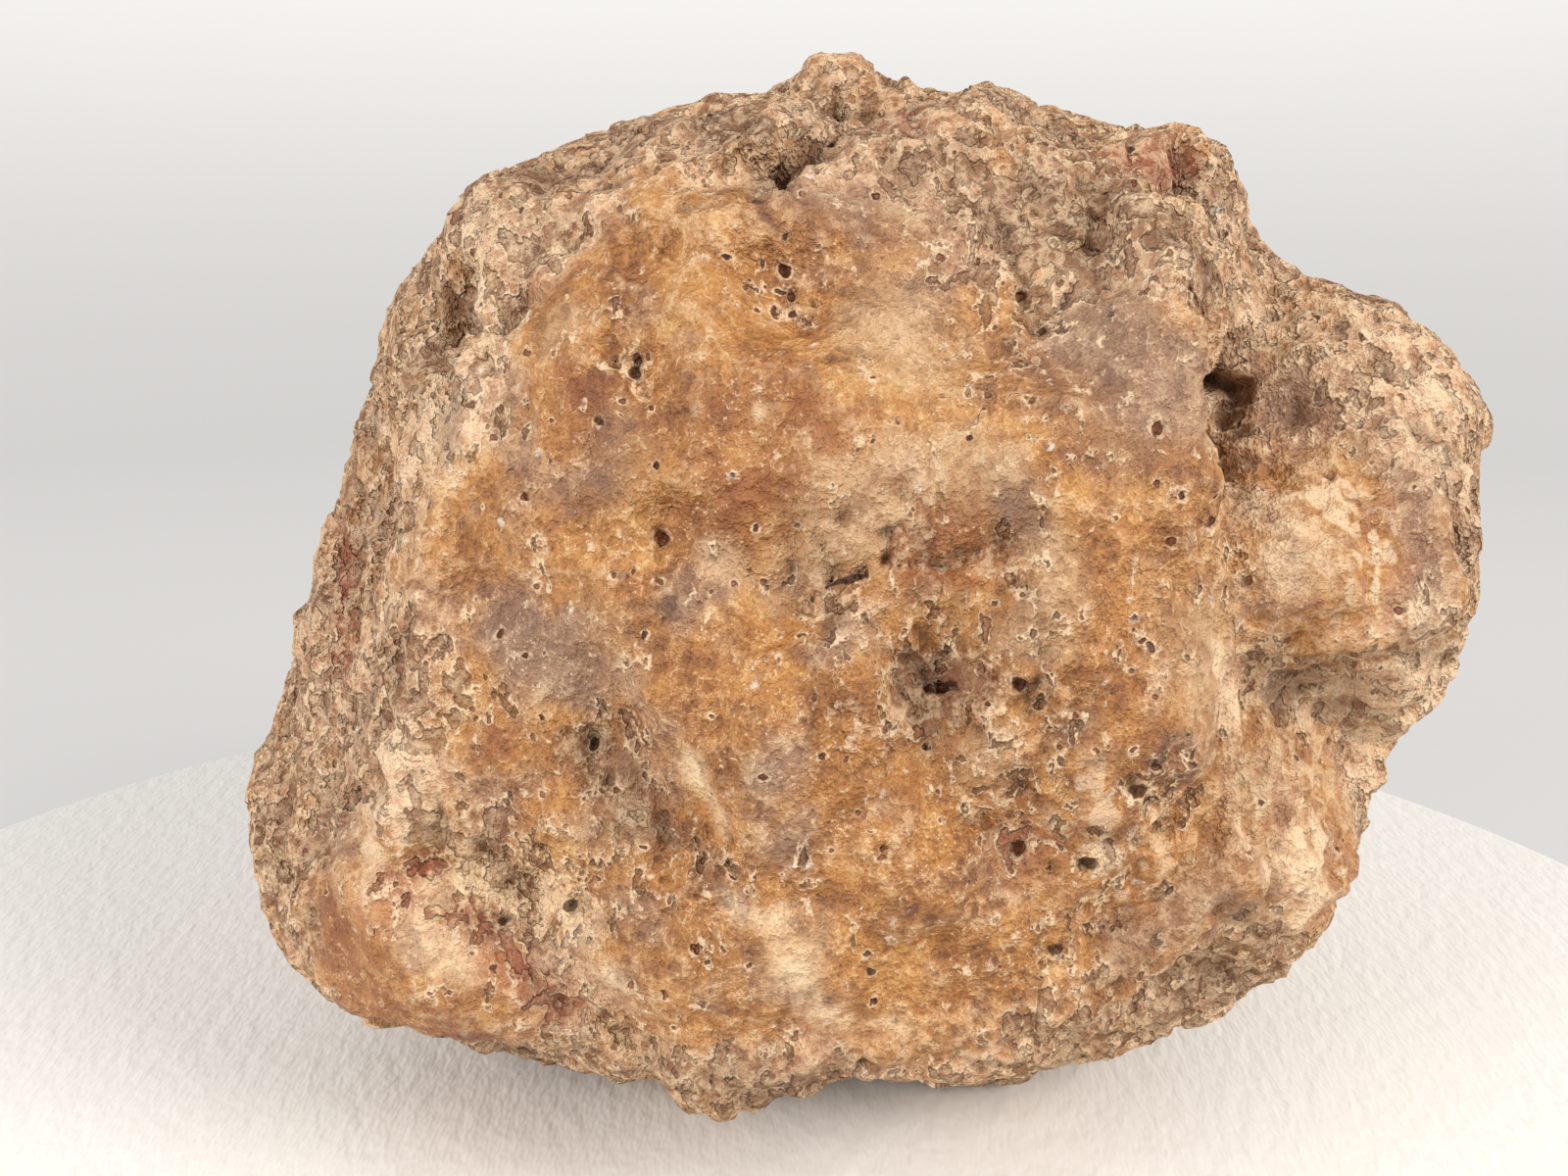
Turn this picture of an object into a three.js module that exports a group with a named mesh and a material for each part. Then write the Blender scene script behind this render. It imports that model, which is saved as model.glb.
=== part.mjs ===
// Geode, whole and uncut: a heavy, knobbly nodule of banded chalcedony in one piece.
// Millimetres. X runs along the longest way of the stone, -Y is its front, +Z is up and
// z = 0 is the plane the stone stands on. Origin: middle of the bounding box, at its foot.
import * as THREE from "three";
import { mergeVertices } from "three/addons/utils/BufferGeometryUtils.js";

// ---- body ------------------------------------------------------------------
const GRID = 28;            // squares along one side of the cube the skin is spread from
const CENTRE_HEIGHT = 60;   // middle of the body above the standing plane
const FRONT_DEPTH = 63;     // middle to the front of the body
const BACK_DEPTH = 61;      // middle to the back
const SQUARENESS = 2.35;    // 2 is an ellipsoid, more is boxier
const EDGE_SHARPNESS = 18;  // how crisply two broad faces meet

// The widest contour seen from the front, as [x, height over the middle of the body].
const OUTLINE = [
  [70, 0], [68.5, 19], [59.5, 34], [46, 46], [34.5, 59], [17.5, 63.5], [0, 67], [-17, 65],
  [-32.5, 57], [-49, 49], [-60, 35], [-66, 18], [-73, 0], [-77.5, -21], [-75, -43.5],
  [-54.5, -54.5], [-31.5, -55.5], [-14, -55], [0, -55], [15, -55.5], [30.5, -53], [49.5, -49.5],
  [58, -33.5], [64, -17],
];

// Broad flattish faces: direction they look in (azimuth, elevation) and their distance
// from the middle. Azimuth 0 looks out of the front, 90 out of the right side (+X).
const FACES = [
  { azimuth: -16, elevation: 4, distance: 57.5 },    // front, left half
  { azimuth: 17, elevation: -8, distance: 62 },      // front, right half
  { azimuth: 2, elevation: 44, distance: 67 },       // upper front, leaning back
  { azimuth: -53, elevation: 17, distance: 65 },     // left flank
  { azimuth: -12, elevation: 76, distance: 66 },     // top
  { azimuth: 44, elevation: -38, distance: 72 },     // undercut, front right
  { azimuth: -20, elevation: -46, distance: 73 },    // undercut, front left
  { azimuth: 128, elevation: 24, distance: 70 },     // back, right shoulder
  { azimuth: 196, elevation: 34, distance: 66 },     // back, leaning up to the top
  { azimuth: 168, elevation: -22, distance: 63 },    // back, below the middle
  { azimuth: 238, elevation: -4, distance: 68 },     // back, left half
  { azimuth: 116, elevation: -38, distance: 73 },    // undercut, back right
];

// Relief on top of the plain body. Every "at" is a point on the skin in mm from the middle
// of the body; only its direction counts. Heights are outward, radii are how far it spreads.
const LUMPS = [
  { at: [-4, -6, 68], radius: 7, height: 5.5 },       // knob at the very top
  { at: [14, -14, 62], radius: 8, height: 2 },
  { at: [-17, -27, 57], radius: 9, height: 3.5 },     // block hanging over the crease
  { at: [-36, -18, 55], radius: 12, height: 1.5 },
  { at: [31, -24, 50], radius: 8, height: 3 },        // upper right corner
  { at: [55, -30, 36], radius: 11, height: 4 },       // lobe set back on the right
  { at: [62, -31, 26], radius: 12, height: 3.5 },
  { at: [47, -47, 17], radius: 13, height: 5 },       // smooth right lobe
  { at: [53, -45, 11], radius: 9, height: 2.5 },
  { at: [47, -41, -22], radius: 15, height: 3 },      // lower right bulge
  { at: [-5, -59, 13], radius: 40, height: 3.5 },     // broad dome of the front
  { at: [20, -56, 0], radius: 13, height: 3 },
  { at: [-10, -58, -19], radius: 15, height: 3 },
  { at: [-30, -50, 30], radius: 14, height: 1.5 },
  { at: [-50, -46, -27], radius: 14, height: 5 },     // foot lobe, lower left
  { at: [-71, -26, -25], radius: 11, height: 2.5 },
  { at: [-56, -26, 38], radius: 7, height: 2 },
  { at: [-66, 22, 16], radius: 17, height: 4 },       // from here on: left side, back and top
  { at: [-48, 44, -16], radius: 16, height: 4.5 },
  { at: [-22, 50, 36], radius: 17, height: 4 },
  { at: [14, 62, 4], radius: 20, height: 4.5 },
  { at: [44, 46, 24], radius: 13, height: 4 },
  { at: [62, 26, -14], radius: 15, height: 4.5 },
  { at: [34, 44, -34], radius: 14, height: 3.5 },
  { at: [-14, 54, -32], radius: 13, height: 3 },
  { at: [10, 22, 64], radius: 15, height: 3 },
];

const HOLLOWS = [
  { at: [46, -32, 48], radius: 10, depth: 5.5 },      // saddle before the right rear lobe
  { at: [20, -24, 58], radius: 6, depth: 2.5 },
  { at: [-65, -24, 24], radius: 6, depth: 2.5 },
  { at: [-72, -24, -9], radius: 7, depth: 2 },
  { at: [41, -45, 31], radius: 10.5, depth: 10 },     // recess under the right ridge
  { at: [33, -48, 33], radius: 6, depth: 5 },         // its cavity
  { at: [35, -51, 27], radius: 4, depth: 3 },
  { at: [54, -40, -6], radius: 7, depth: 3 },
  { at: [-29, -54, 1], radius: 5, depth: 3 },
  { at: [-22, -57, -8], radius: 6, depth: 4 },
  { at: [-38, -52, -16], radius: 9, depth: 2.5 },     // honeycombed dish, lower left
  { at: [4, -59, 8], radius: 6, depth: 4 },           // vug in the middle of the front
  { at: [18, -38, 51], radius: 6, depth: 3 },
  { at: [-43, -35, 42], radius: 8, depth: 2.5 },
  { at: [-2, -18, 62], radius: 5, depth: 4 },
  { at: [33, -46, -32], radius: 11, depth: 3.5 },     // hollowed underside, front
  { at: [19, -42, -43], radius: 8, depth: 5 },
  { at: [-3, -46, -42], radius: 8, depth: 3.5 },
  { at: [-42, -36, -45], radius: 9, depth: 5.5 },
  { at: [-2, 4, -60], radius: 17, depth: 4 },         // middle of the underside
  { at: [-38, 50, 18], radius: 9, depth: 4.5 },       // from here on: back and sides
  { at: [-2, 58, -16], radius: 10, depth: 4.5 },
  { at: [34, 54, -8], radius: 8, depth: 4 },
  { at: [16, 52, 36], radius: 9, depth: 4 },
  { at: [70, 4, 4], radius: 9, depth: 3.5 },
  { at: [-72, 2, 10], radius: 8, depth: 3 },
];

// Small open pits in the skin.
const PIT_RADIUS = 4;
const PIT_DEPTH = 3.2;
const PITS = [
  [-24, -48, 36], [-10, -47, 43], [-23, -55, 22], [11, -58, 19], [8, -58, -6], [13, -57, -11],
  [26, -54, -6], [30, -27, 50], [-40, -50, -21], [-12, -57, 17], [3, -59, 10], [-46, -32, 40],
  [58, -36, 20], [34, -47, 34], [-74, -6, 6], [-62, 30, 8], [-30, 52, 20], [-6, 56, 26], [22, 60, 2],
  [40, 50, 14], [58, 34, 10], [70, 12, -8], [-44, 46, -22], [8, 58, -24], [-24, 26, 58], [20, 14, 64],
  [44, 20, 46],
];

const RIDGES = [
  { // brow where the front turns into the top
    path: [[-45, -27, 48], [-36, -30, 51], [-25, -36, 51], [-16, -41, 49], [-10, -38, 52], [-4, -30, 57],
      [5, -31, 56], [12, -28, 58]],
    radius: 5.5, height: 2.5,
  },
  { // left corner of the front, from the brow down to the foot lobe
    path: [[-40, -18, 55], [-41, -35, 44], [-43, -39, 35], [-46, -40, 25], [-48, -41, 12], [-49, -43, 0],
      [-53, -44, -15]],
    radius: 7, height: 3,
  },
  { path: [[22, -36, 53], [27, -44, 43], [27, -51, 36], [29, -53, 29]], radius: 6, height: 4 },
  { path: [[42, -42, 38], [54, -40, 29], [58, -42, 21], [60, -41, 11]], radius: 4.5, height: 2.5 },
  { path: [[60, -41, 9], [52, -46, 6], [44, -50, 9]], radius: 4, height: 2 },
  { // ledge over the hollowed underside
    path: [[40, -46, -13], [31, -50, -22], [21, -52, -28], [10, -51, -33], [1, -52, -35], [-7, -52, -37],
      [-19, -48, -41]],
    radius: 4.5, height: 3,
  },
  { path: [[-60, 34, 30], [-44, 48, 4], [-20, 58, 4], [2, 60, 22]], radius: 6, height: 3 },
  { path: [[24, 40, 48], [48, 40, 6], [54, 38, -24]], radius: 7, height: 3 },
  { path: [[-30, 10, 62], [-8, 30, 60], [24, 30, 56]], radius: 7, height: 2.5 },
];

const GROOVES = [
  { // crease under the block that hangs over
    path: [[-1, -22, 60], [-5, -28, 58], [-11, -34, 55], [-17, -37, 52]],
    radius: 3.2, depth: 4.2,
  },
  { path: [[-49, -46, -17], [-42, -50, -23], [-31, -51, -33]], radius: 4.5, depth: 3 }, // above the foot lobe
  { path: [[-10, -58, 14], [-2, -58, 19], [6, -58, 20]], radius: 3.5, depth: 3 },       // gash over the vug
  { path: [[34, -52, 20], [33, -53, 6], [38, -50, -8]], radius: 7, depth: 3 },
  { path: [[-59, -25, 24], [-60, -31, 10], [-61, -34, -4]], radius: 5, depth: 2.5 },
  { path: [[41, -50, 6], [47, -46, 2], [55, -40, -6]], radius: 4.5, depth: 5 }, // under the right lobe
  { path: [[-70, 10, -10], [-56, 36, -2], [-34, 52, -4]], radius: 5, depth: 3 },
  { path: [[30, 56, 14], [4, 62, -4], [-24, 54, -18]], radius: 5, depth: 3.5 },
  { path: [[66, 10, 26], [60, 34, 8], [50, 46, -12]], radius: 5, depth: 3 },
];

// Low bosses under the stone; cut off flat by the standing plane they are what it rests on.
const FEET = [
  { at: [-18, -20, -58], radius: 11, height: 7 },
  { at: [17, -17, -58], radius: 9, height: 7.5 },
  { at: [-32, 18, -58], radius: 11, height: 7.5 },
  { at: [20, 24, -58], radius: 13, height: 11 },
];

// Unevenness of the whole skin: [wavelength, height], coarse to fine.
const UNEVENNESS = [[44, 2.6], [21, 2.2], [11, 1.6], [6.5, 0.9]];

// ---- how the shape is worked out --------------------------------------------
const CONTOUR_SAMPLES = 1440;   // points taken along the smooth contour
const SWELL_POWER = 2.5;        // how flat-topped a lump is: 2 is a bell, more is nearer a mesa
const LAYER_SHIFT = 1.7;        // wavelengths that each layer of unevenness is moved by
const MIX = [127.1, 311.7, 74.7];   // weights that scramble a lattice corner's x, y and z
const SCRAMBLE = 43758.5453;
const MERGE_DISTANCE = 1e-4;    // grid corners nearer than this are one

const degrees = THREE.MathUtils.degToRad;

function direction(azimuth, elevation) {
  const a = degrees(azimuth);
  const e = degrees(elevation);
  return new THREE.Vector3(Math.sin(a) * Math.cos(e), -Math.cos(a) * Math.cos(e), Math.sin(e));
}

function contourByAngle() {
  const points = OUTLINE.map(([x, z]) => new THREE.Vector3(x, 0, z));
  const curve = new THREE.CatmullRomCurve3(points, true, "centripetal");
  return curve.getPoints(CONTOUR_SAMPLES)
    .map((p) => ({ angle: Math.atan2(p.z, p.x), radius: Math.hypot(p.x, p.z) }))
    .sort((p, q) => p.angle - q.angle);
}

const contour = contourByAngle();

const faces = FACES.map((f) => ({ normal: direction(f.azimuth, f.elevation), distance: f.distance }));

// Distance from the middle to the contour at an angle from +X towards +Z.
function contourRadius(angle) {
  let low = 0;
  let high = contour.length - 1;
  if (angle <= contour[low].angle || angle >= contour[high].angle) return contour[low].radius;
  while (high - low > 1) {
    const middle = (low + high) >> 1;
    if (contour[middle].angle <= angle) low = middle;
    else high = middle;
  }
  const step = Math.max(contour[high].angle - contour[low].angle, 1e-9);
  return THREE.MathUtils.lerp(contour[low].radius, contour[high].radius, (angle - contour[low].angle) / step);
}

// Distance from the middle to the plain body in direction d.
function bodyRadius(d) {
  const across = Math.hypot(d.x, d.z) / contourRadius(Math.atan2(d.z, d.x));
  const along = Math.abs(d.y) / (d.y < 0 ? FRONT_DEPTH : BACK_DEPTH);
  const oval = Math.pow(across, SQUARENESS) + Math.pow(along, SQUARENESS);
  let sum = Math.pow(oval, EDGE_SHARPNESS / SQUARENESS);
  for (const face of faces) {
    sum += Math.pow(Math.max(0, d.dot(face.normal)) / face.distance, EDGE_SHARPNESS);
  }
  return Math.pow(sum, -1 / EDGE_SHARPNESS);
}

// Repeatable pseudo-random number in 0..1 for a lattice corner.
function cornerValue(x, y, z) {
  const s = Math.sin(x * MIX[0] + y * MIX[1] + z * MIX[2]) * SCRAMBLE;
  return s - Math.floor(s);
}

// Smooth value noise in -1..1.
function noise(x, y, z) {
  const cell = [Math.floor(x), Math.floor(y), Math.floor(z)];
  const [u, v, w] = [x - cell[0], y - cell[1], z - cell[2]].map((t) => t * t * t * (t * (6 * t - 15) + 10));
  let total = 0;
  for (const i of [0, 1]) {
    for (const j of [0, 1]) {
      for (const k of [0, 1]) {
        const weight = (i ? u : 1 - u) * (j ? v : 1 - v) * (k ? w : 1 - w);
        total += weight * cornerValue(cell[0] + i, cell[1] + j, cell[2] + k);
      }
    }
  }
  return 2 * total - 1;
}

function unevenness(p) {
  let sum = 0;
  for (const [wavelength, height] of UNEVENNESS) {
    const shift = wavelength * LAYER_SHIFT;
    sum += height * noise((p.x + shift) / wavelength, (p.y - shift) / wavelength, p.z / wavelength);
  }
  return sum;
}

// The point of the plain body in the direction of a point.
function onBody([x, y, z]) {
  const d = new THREE.Vector3(x, y, z).normalize();
  return d.multiplyScalar(bodyRadius(d));
}

// 1 at the middle of a lump, fading to nothing past its radius.
function swell(distance, radius) {
  return Math.exp(-Math.pow(distance / radius, SWELL_POWER));
}

function distanceToPath(p, path) {
  const nearest = new THREE.Vector3();
  let best = Infinity;
  for (let i = 0; i + 1 < path.length; i++) {
    new THREE.Line3(path[i], path[i + 1]).closestPointToPoint(p, true, nearest);
    best = Math.min(best, p.distanceTo(nearest));
  }
  return best;
}

const spots = [
  ...LUMPS.map((f) => ({ centre: onBody(f.at), radius: f.radius, rise: f.height })),
  ...HOLLOWS.map((f) => ({ centre: onBody(f.at), radius: f.radius, rise: -f.depth })),
  ...PITS.map((at) => ({ centre: onBody(at), radius: PIT_RADIUS, rise: -PIT_DEPTH })),
  ...FEET.map((f) => ({ centre: onBody(f.at), radius: f.radius, rise: f.height })),
];
const lines = [
  ...RIDGES.map((f) => ({ path: f.path.map(onBody), radius: f.radius, rise: f.height })),
  ...GROOVES.map((f) => ({ path: f.path.map(onBody), radius: f.radius, rise: -f.depth })),
];

// How far the skin stands out from the plain body at point p of it.
function relief(p) {
  let rise = unevenness(p);
  for (const spot of spots) rise += spot.rise * swell(p.distanceTo(spot.centre), spot.radius);
  for (const line of lines) rise += line.rise * swell(distanceToPath(p, line.path), line.radius);
  return rise;
}

// The six sides of a cube as one closed grid.
function cubeGrid() {
  const box = new THREE.BoxGeometry(2, 2, 2, GRID, GRID, GRID);
  box.deleteAttribute("normal");
  box.deleteAttribute("uv");
  return mergeVertices(box, MERGE_DISTANCE);
}

// The cube's grid, spread evenly over all directions, out to the skin and cut off flat at the foot.
function buildSkin() {
  const skin = cubeGrid();
  const position = skin.attributes.position;
  const d = new THREE.Vector3();
  for (let i = 0; i < position.count; i++) {
    d.fromBufferAttribute(position, i).multiplyScalar(Math.PI / 4);
    d.set(Math.tan(d.x), Math.tan(d.y), Math.tan(d.z)).normalize();
    const radius = bodyRadius(d);
    const skinRadius = radius + relief(d.clone().multiplyScalar(radius));
    const toFloor = d.z < 0 ? CENTRE_HEIGHT / -d.z : Infinity;
    d.multiplyScalar(Math.min(skinRadius, toFloor));
    position.setXYZ(i, d.x, d.y, d.z);
  }
  skin.computeBoundingBox();
  const middle = skin.boundingBox.getCenter(new THREE.Vector3());
  skin.translate(-middle.x, -middle.y, CENTRE_HEIGHT);
  return skin;
}

const stone = new THREE.MeshStandardMaterial({ color: 0xb98a5e, roughness: 0.72, metalness: 0 });
const geode = new THREE.Mesh(buildSkin(), stone);
geode.name = "geode";

const group = new THREE.Group();
group.add(geode);
export default group;
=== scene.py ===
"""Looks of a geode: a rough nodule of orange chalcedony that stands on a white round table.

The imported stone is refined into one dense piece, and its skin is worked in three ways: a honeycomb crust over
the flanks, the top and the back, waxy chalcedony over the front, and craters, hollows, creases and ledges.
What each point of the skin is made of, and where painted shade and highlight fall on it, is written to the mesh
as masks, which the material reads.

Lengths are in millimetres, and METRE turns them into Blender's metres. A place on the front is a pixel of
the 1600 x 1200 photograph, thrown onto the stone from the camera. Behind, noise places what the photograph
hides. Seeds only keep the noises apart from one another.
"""
import math
from itertools import product

import bmesh
import bpy
import numpy as np
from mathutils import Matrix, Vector
from mathutils.bvhtree import BVHTree
from mathutils.kdtree import KDTree


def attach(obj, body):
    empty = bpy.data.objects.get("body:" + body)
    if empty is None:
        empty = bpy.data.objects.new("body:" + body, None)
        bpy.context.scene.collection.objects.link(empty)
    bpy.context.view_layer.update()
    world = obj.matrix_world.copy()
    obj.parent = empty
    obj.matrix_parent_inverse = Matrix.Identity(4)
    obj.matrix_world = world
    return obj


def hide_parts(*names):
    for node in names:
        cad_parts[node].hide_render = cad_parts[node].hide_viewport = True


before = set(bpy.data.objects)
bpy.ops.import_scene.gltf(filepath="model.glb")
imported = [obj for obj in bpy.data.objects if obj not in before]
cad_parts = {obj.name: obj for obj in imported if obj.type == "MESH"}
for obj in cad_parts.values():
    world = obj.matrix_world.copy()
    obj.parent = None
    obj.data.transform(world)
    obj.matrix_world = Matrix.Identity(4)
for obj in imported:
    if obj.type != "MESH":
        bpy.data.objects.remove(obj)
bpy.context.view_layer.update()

METRE = 1000.0

# -------- camera of the photograph
PHOTO_WIDTH = 1600
PHOTO_HEIGHT = 1200
FOCAL_PIXELS = 1500
SENSOR_WIDTH = 36
CAMERA_PLACE = Vector((-6.2, -193.6, 110.0))
CAMERA_PITCH = math.radians(14)
NEAREST_SEEN = 10

# -------- refining
SUBDIVISIONS = 3
MOST_TRIANGLES = 190_000
# Points closer than this are joined.
JOINED = 0.001
# The relief fades in over this height above the table.
FOOT_FADE = 3.0
# What the photograph hides fades in between these two depths (y), and has edges this wide in its noise.
BEHIND_BEGINS = (-8.0, 22.0)
BEHIND_FADE = 0.16
# Width of the soft edge of an area, as a share of its radius.
COLOUR_SOFTNESS = 1.5
WAXY_SOFTNESS = 0.5
LACY_SOFTNESS = 0.9
# The stone is lacy round a grainy patch, out to this many times its half width.
LACY_REACH = 2.2

# Drifts of the points: reach, wavelength, seed.
WAXY_AREA_DRIFTS = [(5, 16, 40), (2.0, 5, 44)]
COLOUR_DRIFTS = [(2.4, 9, 200), (1.5, 3.5, 204)]
CRUST_DRIFTS = [(1.5, 5.5, 60)]
WAXY_DRIFTS = [(1.2, 4, 135)]
TORN_DRIFTS = [(1.6, 4, 185), (0.5, 1.5, 186)]
CRATER_DRIFTS = [(0.3, 0.9, 195)]

# -------- relief of the skin
# The crust is drawn out upright.
UPRIGHT = (1, 1, 0.75)
# Waves: height, wavelength, seed.
CRUST_WAVES = [(0.9, 10, 70), (0.5, 3.2, 74)]
WAXY_WAVES = [(0.9, 13, 110), (0.75, 4.2, 120)]
# Lumps: size, height, the share that is sunk to pits, seed.
CRUST_LUMPS = [(9.0, 0.8, 0.4, 84), (4.8, 0.8, 0.4, 80), (2.6, 0.6, 0.45, 90)]
WAXY_LUMPS = (2.5, 0.55, 0.45, 140)
# Shape of a lump, in parts of its size or height.
LUMP_RADIUS = 0.75
LUMP_HEIGHT = 0.4
LUMP_TO_PIT = 1.7
WALL_WIDTH = 0.25
WALL_HEIGHT = 0.2
# Crests and creases: wavelength, seed. The width of a crease is one in its noise.
CRUST_CREST = (7, 78)
CRUST_CREST_HEIGHT = 0.5
WAXY_CREST = (9, 125)
WAXY_CREST_HEIGHT = 0.45
CREASE = (11, 130)
CREASE_DEPTH = 0.3
CREASE_WIDTH = 0.05
# The share of their height that the lumps of the waxy stone have where it isn't lacy.
PLAIN_LUMPS = 0.25
# How much painted shade the pits of the relief get, and how pale its walls turn, partly as painted highlight.
RELIEF_SHADE = 0.7
# The waxy stone is gnarled at the right, and turns so between these places (x).
GNARLED_BEGINS = (15, 40)
GNARLS = [(0.7, 6.5, 145), (0.4, 3.4, 149)]

# -------- craters
# Shape of a crater dug into the mesh, in parts of its radius.
CRATER_DEPTH = 1.3
CRATER_MOUTH = 1.3
LIP_HEIGHT = 0.4
LIP_RADIUS = 1.5
LIP_SPREAD = 0.1
SMALLEST_DUG_CRATER = 0.42
# The material draws them all, from layers in which no two are close. Each reaches past its radius.
CRATER_LAYERS = 3
CRATER_CLEARANCE = 2.4
CRATER_REACH = 1.5
# Stray craters: their number, their radii from the smallest up, and where they are likely.
STRAY_CRATERS = 520
STRAY_SEED = 7
SMALLEST_STRAY = 0.13
STRAY_SPREAD = 0.5
STRAY_ANYWHERE = 0.12
STRAY_IN_CRUST = 0.5
STRAY_IN_GRAIN = 1.2

# -------- waxy areas: radius, pixel
FRONT_WAXY = [
    (25, (850, 430)), (17, (640, 420)), (17, (1080, 420)), (21, (620, 690)), (27, (850, 760)),
    (22, (1090, 720)), (19, (700, 930)), (16, (950, 960)), (16, (1150, 880)), (13, (1370, 560)),
    (6, (1320, 410)), (13, (1330, 860)), (14, (380, 980)),
]

# -------- worked features of the front
# Their edges are torn by this share. Grain roughens a floor by these heights.
TORN_EDGE = 0.3
GRAINY_GRAIN = 0.9
CAVITY_GRAIN = 0.3
# Grainy floors have this share of their depth. Ledges are this much wider, and their rims this pale, with
# painted highlight.
GRAINY_DEPTH = 0.8
LEDGE_WIDTH = 1.4
LEDGE_RIM = 0.4
# Hollows with a rough floor darkened by painted shade: half width, depth, path of photograph pixels.
CAVITIES = [
    (2.5, 4.6, (1238, 400), (1258, 408)), (1.4, 1.2, (1268, 480)), (2.5, 3.2, (1213, 160)),
    (1.3, 1.4, (1152, 158)), (0.9, 1, (1160, 186)), (1.1, 1.2, (343, 548)),
    (0.9, 1.2, (350, 600), (354, 620)), (1.1, 1.2, (350, 670)), (1.8, 1.6, (1360, 330)),
    (2.2, 2.2, (1496, 546)), (1.5, 2, (1318, 690), (1336, 688)), (1.6, 2.4, (848, 106), (856, 114)),
    (1.5, 2.2, (878, 116), (890, 122)), (0.9, 1.6, (1036, 697), (1044, 692)), (1.3, 1.4, (606, 761)),
    (1.2, 1.3, (623, 792)), (1.5, 2, (668, 846), (688, 856)), (1.1, 1.4, (514, 941)),
    (1.3, 1.5, (582, 922)), (1.8, 1.6, (480, 300), (492, 335)), (1.9, 1.4, (1113, 1051)),
    (1.2, 1.2, (881, 1080)),
]
# Rough patches with a granular floor, the vug at the middle of the front first.
GRAINY = [
    (5.4, 1.5, (925, 700), (985, 685)), (2.6, 1.1, (840, 614), (872, 600)),
    (2.6, 0.9, (1010, 560), (1030, 580)), (2.4, 0.7, (925, 545), (950, 530)),
    (1.8, 0.9, (925, 578), (985, 562)), (3, 1.1, (600, 765), (640, 850)),
    (4.2, 0.9, (470, 905), (590, 910)), (2, 0.9, (650, 372), (655, 388)),
    (2.2, 0.7, (1165, 800), (1182, 815)), (2.2, 0.6, (985, 828)), (2.3, 0.9, (1040, 863)),
    (2, 0.6, (1112, 880)), (3.6, 1.2, (1060, 220), (1110, 225)), (3.2, 1, (485, 300), (480, 340)),
]
# Black holes, their insides painted shade: pixel, radius.
VOIDS = [
    (967, 664, 0.7), (963, 682, 0.45), (949, 703, 0.75), (963, 700, 0.9), (674, 549, 0.95),
    (606, 761, 0.7), (514, 941, 0.7), (582, 922, 0.8), (1041, 697, 0.8),
]
# Narrow lines cut into the stone.
SLITS = [
    (0.9, 1.5, (944, 704), (972, 698)), (0.7, 1.2, (967, 661), (963, 680)),
    (0.55, 1.4, (826, 613), (837, 602), (852, 595), (872, 590), (884, 585)),
    (0.8, 1.1, (914, 578), (938, 573), (962, 570), (990, 560)),
    (1.1, 2.3, (850, 147), (835, 152), (800, 185), (780, 199), (735, 212), (690, 218)),
    (0.7, 1.2, (1335, 452), (1345, 490)),
    (1.6, 1, (430, 880), (460, 920), (500, 950), (520, 975), (540, 1000), (600, 1040)),
]
# Black lines of painted shadow, drawn by the material in slits and the crease: half width, path.
BLACK_LINES = [
    (0.3, (829, 612), (850, 596), (884, 585)), (0.42, (864, 593), (884, 585)),
    (0.6, (946, 705), (970, 698)), (0.14, (916, 577), (962, 569)), (0.35, (848, 149), (800, 187)),
]
# Open pits with a raised cream lip: pixel, radius. The larger ones are dug into the mesh.
CRATERS = [
    (650, 367, 0.7), (661, 365, 0.37), (649, 381, 0.75), (662, 391, 0.4), (636, 407, 0.37),
    (612, 430, 0.43), (670, 475, 0.5), (800, 275, 0.85), (807, 303, 0.6), (792, 319, 0.7),
    (809, 321, 0.6), (833, 313, 0.75), (821, 328, 0.5), (761, 294, 0.37), (742, 262, 0.5),
    (665, 416, 0.37), (646, 583, 0.43), (674, 593, 0.5), (726, 602, 0.37), (751, 595, 0.37),
    (780, 593, 0.43), (512, 647, 0.56), (537, 669, 0.56), (554, 731, 0.5), (535, 507, 0.5),
    (481, 413, 0.56), (504, 446, 0.5), (510, 417, 0.43), (538, 360, 0.5), (657, 648, 0.43),
    (814, 537, 0.43), (1042, 301, 0.8), (1063, 337, 0.5), (1024, 290, 0.37), (998, 268, 0.43),
    (959, 263, 0.5), (989, 449, 0.5), (1009, 403, 0.43), (1180, 438, 0.9), (892, 201, 0.5),
    (1152, 153, 0.62), (1155, 186, 0.56), (1193, 258, 0.5), (1213, 295, 0.56), (1181, 494, 0.5),
    (1204, 505, 0.56), (1234, 533, 0.62), (1194, 552, 0.56), (1273, 593, 0.56), (1312, 654, 0.56),
    (1175, 662, 0.5), (1154, 684, 0.43), (1427, 623, 0.62), (1121, 765, 0.43), (1081, 762, 0.37),
    (1061, 717, 0.62), (1007, 720, 0.43), (1180, 781, 0.5), (1161, 808, 1), (1182, 815, 0.5),
    (1006, 825, 0.43), (984, 822, 0.37), (960, 838, 0.37), (1038, 865, 1.1), (1000, 859, 0.37),
    (1071, 885, 0.43), (1112, 880, 1.1), (1041, 830, 0.37), (1077, 969, 0.74), (1191, 908, 0.56),
    (1366, 866, 0.5), (1286, 818, 0.5), (1275, 870, 0.43), (838, 771, 0.43), (864, 776, 0.37),
    (779, 792, 0.5), (876, 829, 0.43), (847, 868, 0.37), (902, 866, 0.43), (944, 762, 0.56),
    (748, 896, 0.5), (741, 881, 0.43), (709, 969, 0.56), (724, 980, 0.43), (764, 986, 0.43),
    (678, 1014, 0.5), (644, 1006, 0.5), (885, 974, 0.43), (888, 991, 0.43), (891, 1021, 0.5),
    (738, 969, 0.37),
]
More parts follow.
